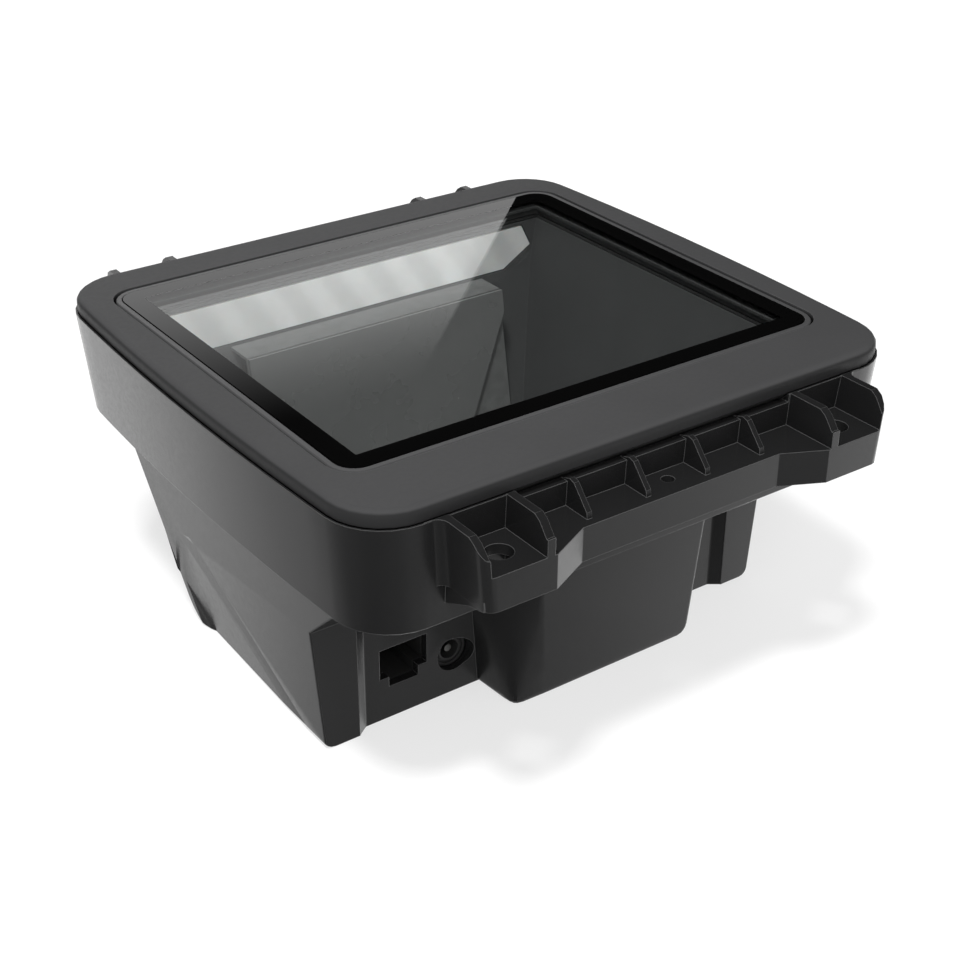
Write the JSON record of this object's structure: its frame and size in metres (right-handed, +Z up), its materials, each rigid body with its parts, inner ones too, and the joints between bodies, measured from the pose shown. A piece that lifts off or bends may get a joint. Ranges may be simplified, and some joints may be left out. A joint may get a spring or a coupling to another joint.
{
  "type": "fixed barcode reader",
  "caption": "Compact fixed barcode reader with a flush top window, screw flanges front and back, and a network and a supply socket at the front.",
  "frame": {"origin": "middle of the bottom of the object's box, on the surface it stands on", "axes": "+Z up, -Y towards the front with the sockets, +X to the right seen from the front"},
  "size_m": [0.152, 0.1694, 0.0789],
  "materials": {
    "housing_black": "fine satin moulded black plastic",
    "bezel_black": "fine satin moulded charcoal plastic",
    "trim_black": "smooth black trim ring",
    "border_black": "opaque black pad",
    "window_clear": "clear flat glass",
    "seal_black": "black foam",
    "hood_grey": "matt dark grey plastic",
    "mirror_silver": "dark coated fold mirror",
    "sheet_steel": "dark bent sheet steel",
    "diffuser_opal": "translucent white diffuser",
    "board_green": "green solder mask",
    "led_cream": "pale yellow package",
    "lens_glass": "coated lens",
    "chip_black": "matt black package",
    "can_aluminium": "plain aluminium can",
    "socket_black": "black moulded plastic",
    "ribbon_white": "white flat ribbon",
    "screw_steel": "zinc plated steel"
  },
  "bodies": {
    "root": {"main_housing": "housing_black", "top_bezel": "bezel_black", "window_frame": "trim_black", "window_gasket": "border_black", "window_glass": "window_clear", "dust_seal": "seal_black", "optics_hood": "hood_grey", "mirror": "mirror_silver", "mirror_bracket": "sheet_steel", "light_diffuser": "diffuser_opal", "light_board": "board_green", "led_1": "led_cream", "led_2": "led_cream", "led_3": "led_cream", "led_4": "led_cream", "led_5": "led_cream", "led_6": "led_cream", "led_7": "led_cream", "led_8": "led_cream", "camera_bracket": "sheet_steel", "camera_board": "board_green", "lens_holder": "socket_black", "camera_lens": "lens_glass", "main_board": "board_green", "decoder_chip": "chip_black", "memory_chip": "chip_black", "capacitor_1": "can_aluminium", "capacitor_2": "can_aluminium", "buzzer": "socket_black", "network_jack": "socket_black", "supply_jack": "socket_black", "cable_connector": "socket_black", "flat_cable": "ribbon_white", "bezel_screw_1": "screw_steel", "bezel_screw_2": "screw_steel", "bezel_screw_3": "screw_steel", "bezel_screw_4": "screw_steel", "board_screw_1": "screw_steel", "board_screw_2": "screw_steel", "board_screw_3": "screw_steel", "board_screw_4": "screw_steel", "hood_screw_1": "screw_steel", "hood_screw_2": "screw_steel", "bracket_screw_1": "screw_steel", "bracket_screw_2": "screw_steel"}
  },
  "joints": []
}
